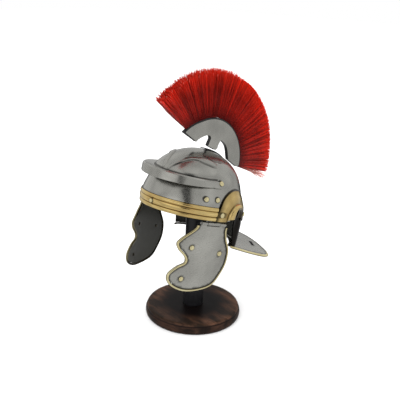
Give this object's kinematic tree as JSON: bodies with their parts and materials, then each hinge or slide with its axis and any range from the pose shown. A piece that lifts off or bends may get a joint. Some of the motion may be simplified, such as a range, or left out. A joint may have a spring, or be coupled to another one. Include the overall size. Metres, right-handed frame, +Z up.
{
  "type": "miniature roman legionary helmet on a display stand",
  "caption": "Small steel display helmet with brass trim, hinged cheek guards, a neck guard and a red bristle crest, resting on the post of a round dark wood base",
  "frame": {"origin": "centre of the underside of the round base, on the surface that the stand rests on", "axes": "+Z up through the post, the helmet faces -Y, and the wearer's left is +X"},
  "size_m": [0.1212, 0.178, 0.2647],
  "materials": {
    "steel": "polished",
    "brass": "polished, darker in the grooves",
    "black": "gloss black",
    "wood": "dark stain under gloss varnish",
    "bristle": "stiff red bristle"
  },
  "bodies": {
    "helmet": {"base": "wood", "post": "black", "skull": "steel", "brow_band": "brass", "brow_band_rivet": "brass", "peak": "steel", "peak_rivet_left": "brass", "peak_rivet_right": "brass", "side_rivet_front_left": "brass", "side_rivet_front_right": "brass", "side_rivet_rear_left": "brass", "side_rivet_rear_right": "brass", "ear_guard_left": "brass", "ear_guard_right": "brass", "ear_rivet_front_left": "brass", "ear_rivet_front_right": "brass", "ear_rivet_rear_left": "brass", "ear_rivet_rear_right": "brass", "neck_guard": "steel", "neck_trim": "brass", "cheek_hinge_left": "steel", "cheek_hinge_right": "steel", "crest_holder": "black", "crest_plate_left": "steel", "crest_plate_right": "steel", "crest_core": "black", "plume": "bristle"},
    "cheek_guard_left": {"cheek_guard_left": "steel", "cheek_trim_left": "brass", "cheek_rivet_1_left": "brass", "cheek_rivet_2_left": "brass", "cheek_rivet_3_left": "brass"},
    "cheek_guard_right": {"cheek_guard_right": "steel", "cheek_trim_right": "brass", "cheek_rivet_1_right": "brass", "cheek_rivet_2_right": "brass", "cheek_rivet_3_right": "brass"}
  },
  "joints": [
    {"name": "cheek_hinge_left", "type": "hinge", "parent": "helmet", "child": "cheek_guard_left", "pos_m": [0.0467, -0.02282, 0.12278], "axis": [0.2419, 0.9398, -0.2413], "range_deg": [-85, 25]},
    {"name": "cheek_hinge_right", "type": "hinge", "parent": "helmet", "child": "cheek_guard_right", "pos_m": [-0.0467, -0.02282, 0.12278], "axis": [-0.2419, 0.9398, -0.2413], "range_deg": [-25, 85]}
  ]
}
